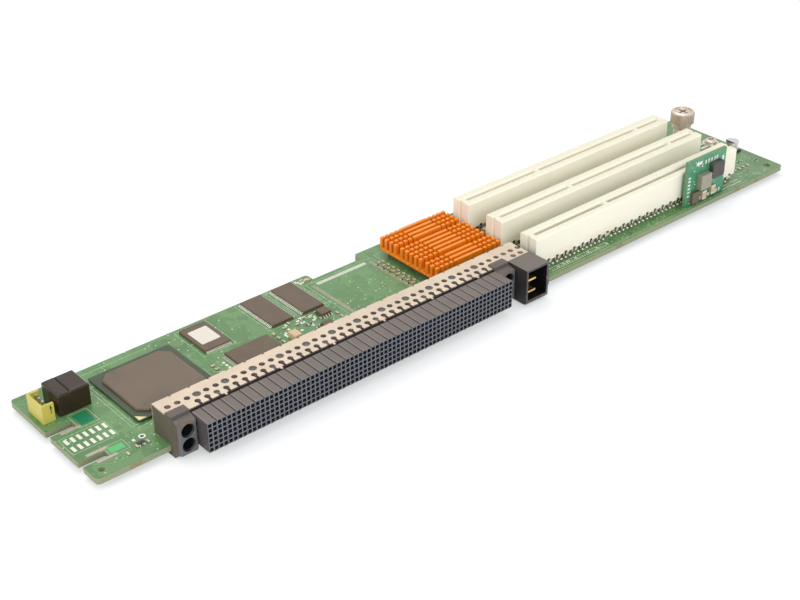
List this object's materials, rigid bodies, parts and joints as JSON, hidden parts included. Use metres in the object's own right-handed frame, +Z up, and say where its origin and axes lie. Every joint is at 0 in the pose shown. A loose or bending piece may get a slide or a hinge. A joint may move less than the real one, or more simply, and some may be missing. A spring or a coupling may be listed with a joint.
{
  "type": "pci-x riser card",
  "caption": "Server riser board that plugs into a backplane along one edge and carries upright expansion card sockets, a bridge chip with heat sink and a captive thumbscrew.",
  "frame": {"origin": "middle of the card's length and depth, on the surface it rests on", "axes": "X runs along the card from the header end to the card sockets' bracket end, Y from the backplane connector's face to the back edge, Z up from the board's component side"},
  "size_m": [0.3624, 0.0728, 0.0262],
  "materials": {
    "green_laminate": "satin solder resist over glass laminate",
    "dark_polymer": "moulded dark grey polymer",
    "stainless": "stamped stainless steel",
    "gold": "gold plated copper",
    "cream_polymer": "moulded cream polymer",
    "tinned_metal": "tin plated copper alloy",
    "orange_anodised": "orange anodised aluminium",
    "mould_compound": "epoxy mould compound",
    "substrate_laminate": "green laminate",
    "grey_pad": "thermal interface pad",
    "tan_ceramic": "ceramic and moulded bodies",
    "black_polymer": "black moulded polymer",
    "grey_metal": "grey moulded body",
    "yellow_polymer": "moulded yellow polymer",
    "nickel_steel": "nickel plated steel",
    "bright_aluminium": "drawn aluminium can"
  },
  "bodies": {
    "card": {"board_screw": "nickel_steel", "bridge_chip": "mould_compound", "can_capacitor": "bright_aluminium", "card_socket_front": "cream_polymer", "card_socket_middle": "cream_polymer", "card_socket_rear": "cream_polymer", "chip_parts": "tan_ceramic", "controller_balls": "tinned_metal", "controller_cap": "mould_compound", "controller_substrate": "substrate_laminate", "filter_block": "black_polymer", "flash_chip": "mould_compound", "header_pins": "tinned_metal", "header_shroud": "yellow_polymer", "heat_sink": "orange_anodised", "left_guide": "dark_polymer", "logic_chip": "mould_compound", "memory_left": "mould_compound", "memory_right": "mould_compound", "power_blades": "gold", "power_module": "dark_polymer", "receptacle_wafers": "dark_polymer", "regulator_board": "green_laminate", "regulator_capacitor": "grey_metal", "regulator_chip": "mould_compound", "regulator_inductor": "black_polymer", "regulator_pins": "tinned_metal", "regulator_small_parts": "tan_ceramic", "right_guide": "dark_polymer", "riser_board": "green_laminate", "small_chips": "mould_compound", "socket_contacts_front": "tinned_metal", "socket_contacts_middle": "tinned_metal", "socket_contacts_rear": "tinned_metal", "stiffener_plate": "stainless", "tantalum_capacitors": "tan_ceramic", "thermal_pad": "grey_pad", "thumbscrew_post": "nickel_steel"},
    "captive_screw": {"thumbscrew": "nickel_steel"}
  },
  "joints": [
    {"name": "thumbscrew_turn", "type": "hinge", "parent": "card", "child": "captive_screw", "pos_m": [0.15895, 0.01265, 0.02001], "axis": [0, 0, 1], "continuous": true}
  ]
}
